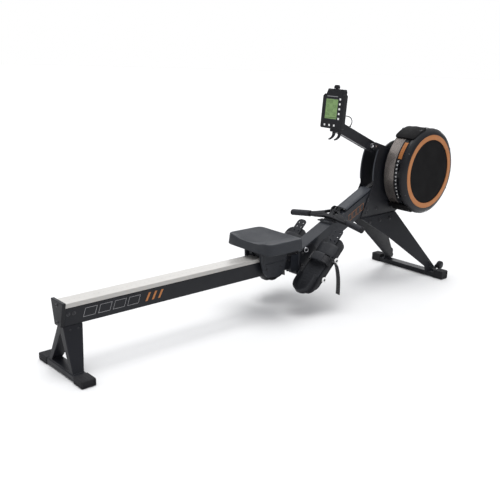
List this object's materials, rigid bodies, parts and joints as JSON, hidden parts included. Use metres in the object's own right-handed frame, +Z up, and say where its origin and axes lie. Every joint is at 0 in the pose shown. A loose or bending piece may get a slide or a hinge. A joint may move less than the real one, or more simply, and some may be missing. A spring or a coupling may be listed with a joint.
{
  "type": "rowing machine",
  "caption": "Indoor rower with a straight monorail, rolling seat, footrests, pull handle on a belt, monitor arm and a large fan drum on the right of its front stand.",
  "frame": {"origin": "floor level, in the middle of the overall length and width", "axes": "+X forward from the rear stand to the fan, +Y to the left of a seated rower, +Z up"},
  "size_m": [2.4542, 0.518, 1.1269],
  "materials": {
    "painted_charcoal": "fine textured powder coat",
    "stainless_track": "brushed",
    "black_plastic": "fine moulded grain",
    "grey_plastic": "moulded grain",
    "seat_foam": "moulded foam skin with fine grain",
    "grip_rubber": "matt rubber",
    "perforated_band": "perforated sheet",
    "copper_trim": "metallic satin",
    "green_screen": "clear lens over a display",
    "white_button": "satin silicone",
    "black_webbing": "woven webbing",
    "zinc_plate": "zinc plated"
  },
  "bodies": {
    "frame": {"rear_stand": "painted_charcoal", "rear_foot_cap_left": "grip_rubber", "rear_foot_cap_right": "grip_rubber", "monorail_beam": "painted_charcoal", "rail_track": "stainless_track", "rail_end_plate": "black_plastic", "boom": "painted_charcoal", "belt_cover": "grey_plastic", "tower_plate_left": "painted_charcoal", "tower_plate_right": "painted_charcoal", "front_leg_left": "painted_charcoal", "front_leg_right": "painted_charcoal", "front_foot_bar": "painted_charcoal", "front_foot_cap_left": "grip_rubber", "front_foot_cap_right": "grip_rubber", "fan_axle": "zinc_plate", "arm_bolt": "zinc_plate", "left_cover": "black_plastic", "fan_band": "perforated_band", "fan_back_pan": "black_plastic", "fan_cage": "black_plastic", "fan_front_cover": "black_plastic", "fan_accent_ring": "copper_trim", "fan_face_grille": "black_plastic", "fan_clamp_top": "black_plastic", "fan_clamp_bottom": "black_plastic", "footboard_left": "black_plastic", "footboard_right": "black_plastic", "foot_strap_left": "black_webbing", "foot_strap_right": "black_webbing", "footrest_bar_upper": "zinc_plate", "footrest_bar_lower": "zinc_plate", "pull_belt": "black_webbing"},
    "seat": {"seat_pad": "seat_foam", "seat_carriage": "black_plastic"},
    "roller_rear": {"seat_roller_rear": "grey_plastic"},
    "roller_front": {"seat_roller_front": "grey_plastic"},
    "handle": {"handle_yoke": "black_plastic", "handle_grip_left": "grip_rubber", "handle_grip_right": "grip_rubber"},
    "drum": {"belt_drum": "zinc_plate"},
    "fan": {"fan_wheel": "grey_plastic"},
    "damper": {"damper_ring": "black_plastic"},
    "heel_left": {"heel_rest_left": "grey_plastic"},
    "heel_right": {"heel_rest_right": "grey_plastic"},
    "arm": {"monitor_arm": "painted_charcoal"},
    "monitor": {"monitor_housing": "black_plastic", "monitor_screen": "green_screen", "monitor_cable": "grip_rubber"},
    "clip": {"device_clip": "grey_plastic"},
    "wheel_left": {"transport_wheel_left": "grip_rubber"},
    "wheel_right": {"transport_wheel_right": "grip_rubber"},
    "button_1": {"monitor_button_1": "white_button"},
    "button_2": {"monitor_button_2": "white_button"},
    "button_3": {"monitor_button_3": "white_button"},
    "button_4": {"monitor_button_4": "white_button"},
    "button_5": {"monitor_button_5": "white_button"},
    "button_6": {"monitor_button_6": "white_button"},
    "button_7": {"monitor_button_7": "white_button"},
    "button_8": {"monitor_button_8": "white_button"}
  },
  "joints": [
    {"name": "seat_slide", "type": "slide", "parent": "frame", "child": "seat", "axis": [1, 0, 0], "range_m": [-0.92, 0.08]},
    {"name": "roller_rear_spin", "type": "hinge", "parent": "seat", "child": "roller_rear", "pos_m": [-0.15, 0, 0.3257], "axis": [0, 1, 0], "range_deg": [-3200, 285]},
    {"name": "roller_front_spin", "type": "hinge", "parent": "seat", "child": "roller_front", "pos_m": [-0.025, 0, 0.3257], "axis": [0, 1, 0], "range_deg": [-3200, 285]},
    {"name": "handle_pull", "type": "slide", "parent": "frame", "child": "handle", "axis": [-0.9848, 0, 0.174], "range_m": [0, 1.35], "stiffness_N_per_m": 20, "springref_m": -0.5, "deforming": ["pull_belt"]},
    {"name": "drum_spin", "type": "hinge", "parent": "frame", "child": "drum", "pos_m": [0.98, 0, 0.652], "axis": [0, 1, 0], "range_deg": [-2600, 10]},
    {"name": "fan_spin", "type": "hinge", "parent": "frame", "child": "fan", "pos_m": [0.98, 0, 0.652], "axis": [0, 1, 0], "continuous": true},
    {"name": "damper_turn", "type": "hinge", "parent": "frame", "child": "damper", "pos_m": [0.98, 0, 0.652], "axis": [0, -1, 0], "range_deg": [0, 9]},
    {"name": "heel_left_slide", "type": "slide", "parent": "frame", "child": "heel_left", "axis": [0.7071, 0, 0.7071], "range_m": [-0.05, 0.01]},
    {"name": "heel_right_slide", "type": "slide", "parent": "frame", "child": "heel_right", "axis": [0.7071, 0, 0.7071], "range_m": [-0.05, 0.01]},
    {"name": "arm_swing", "type": "hinge", "parent": "frame", "child": "arm", "pos_m": [0.666, 0, 0.799], "axis": [0, 1, 0], "range_deg": [-20, 30]},
    {"name": "monitor_tilt", "type": "hinge", "parent": "arm", "child": "monitor", "pos_m": [0.388, 0, 0.917], "axis": [0, 1, 0], "range_deg": [-10, 25], "deforming": ["monitor_cable"]},
    {"name": "clip_slide", "type": "slide", "parent": "monitor", "child": "clip", "axis": [0.0698, 0, 0.9976], "range_m": [0, 0.025]},
    {"name": "wheel_left_spin", "type": "hinge", "parent": "frame", "child": "wheel_left", "pos_m": [1.2031, 0.1875, 0.06], "axis": [0, 1, 0], "continuous": true},
    {"name": "wheel_right_spin", "type": "hinge", "parent": "frame", "child": "wheel_right", "pos_m": [1.2031, -0.1875, 0.06], "axis": [0, 1, 0], "continuous": true},
    {"name": "button_1_press", "type": "slide", "parent": "monitor", "child": "button_1", "axis": [0.9976, 0, -0.0698], "range_m": [0, 0.001], "stiffness_N_per_m": 800},
    {"name": "button_2_press", "type": "slide", "parent": "monitor", "child": "button_2", "axis": [0.9976, 0, -0.0698], "range_m": [0, 0.001], "stiffness_N_per_m": 800},
    {"name": "button_3_press", "type": "slide", "parent": "monitor", "child": "button_3", "axis": [0.9976, 0, -0.0698], "range_m": [0, 0.001], "stiffness_N_per_m": 800},
    {"name": "button_4_press", "type": "slide", "parent": "monitor", "child": "button_4", "axis": [0.9976, 0, -0.0698], "range_m": [0, 0.001], "stiffness_N_per_m": 800},
    {"name": "button_5_press", "type": "slide", "parent": "monitor", "child": "button_5", "axis": [0.9976, 0, -0.0698], "range_m": [0, 0.001], "stiffness_N_per_m": 800},
    {"name": "button_6_press", "type": "slide", "parent": "monitor", "child": "button_6", "axis": [0.9976, 0, -0.0698], "range_m": [0, 0.001], "stiffness_N_per_m": 800},
    {"name": "button_7_press", "type": "slide", "parent": "monitor", "child": "button_7", "axis": [0.9976, 0, -0.0698], "range_m": [0, 0.001], "stiffness_N_per_m": 800},
    {"name": "button_8_press", "type": "slide", "parent": "monitor", "child": "button_8", "axis": [0.9976, 0, -0.0698], "range_m": [0, 0.001], "stiffness_N_per_m": 800}
  ],
  "couplings": [
    {"joint": "roller_rear_spin", "follows": "seat_slide", "rad_per_m": 60.606},
    {"joint": "roller_front_spin", "follows": "seat_slide", "rad_per_m": 60.606},
    {"joint": "drum_spin", "follows": "handle_pull", "rad_per_m": -33.333}
  ]
}
